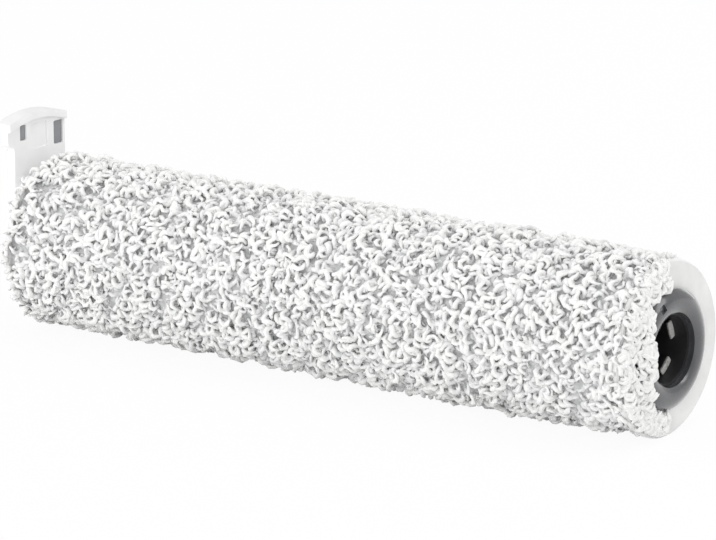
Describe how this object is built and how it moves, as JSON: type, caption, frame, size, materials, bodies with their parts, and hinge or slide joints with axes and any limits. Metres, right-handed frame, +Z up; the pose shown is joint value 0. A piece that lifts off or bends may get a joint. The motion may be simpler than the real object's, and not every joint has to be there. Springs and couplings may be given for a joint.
{
  "type": "vacuum brush roll",
  "caption": "Soft microfibre brush roll for a floor washer, with a drive socket at one end and a bearing-mounted end cap with a grip tab at the other.",
  "frame": {"origin": "on the roll's axis, inside the drive bore, in the plane of the drive end disc's outer face", "axes": "+X along the axis out of the drive end, +Z up towards the grip tab's side"},
  "size_m": [0.245, 0.0539, 0.0664],
  "materials": {
    "tube": "extruded ABS",
    "pile": "curly microfibre pile",
    "disc": "satin moulded ABS",
    "collar": "satin gloss moulded",
    "socket": "moulded nylon",
    "lugs": "moulded acetal",
    "steel": "ground",
    "ball": "polished",
    "spring": "black oxide spring steel",
    "cap": "satin moulded ABS",
    "grip": "moulded soft elastomer",
    "felt": "pressed wool felt"
  },
  "bodies": {
    "roll": {"core_tube": "tube", "pile_sleeve": "pile", "drive_end_disc": "disc", "tab_end_disc": "disc", "drive_collar": "collar", "drive_socket": "socket", "drive_spider": "lugs", "bearing_carrier": "socket", "bearing_outer_ring": "steel", "bearing_shield_outer": "steel", "bearing_shield_inner": "steel", "bearing_circlip": "spring"},
    "ball_set": {"bearing_balls": "ball", "bearing_cage": "lugs"},
    "tab_cap": {"end_cap": "cap", "grip_pad": "grip", "axle_cover": "cap", "stub_axle": "steel", "bearing_inner_ring": "steel", "axle_spacer": "lugs", "felt_seal": "felt", "axle_washer": "steel", "axle_e_clip": "spring"}
  },
  "joints": [
    {"name": "cap_spin", "type": "hinge", "parent": "roll", "child": "tab_cap", "pos_m": [-0.2236, 0, 0], "axis": [1, 0, 0], "continuous": true},
    {"name": "cage_spin", "type": "hinge", "parent": "roll", "child": "ball_set", "pos_m": [-0.2236, 0, 0], "axis": [1, 0, 0], "continuous": true}
  ],
  "couplings": [
    {"joint": "cage_spin", "follows": "cap_spin", "ratio": 0.368}
  ]
}
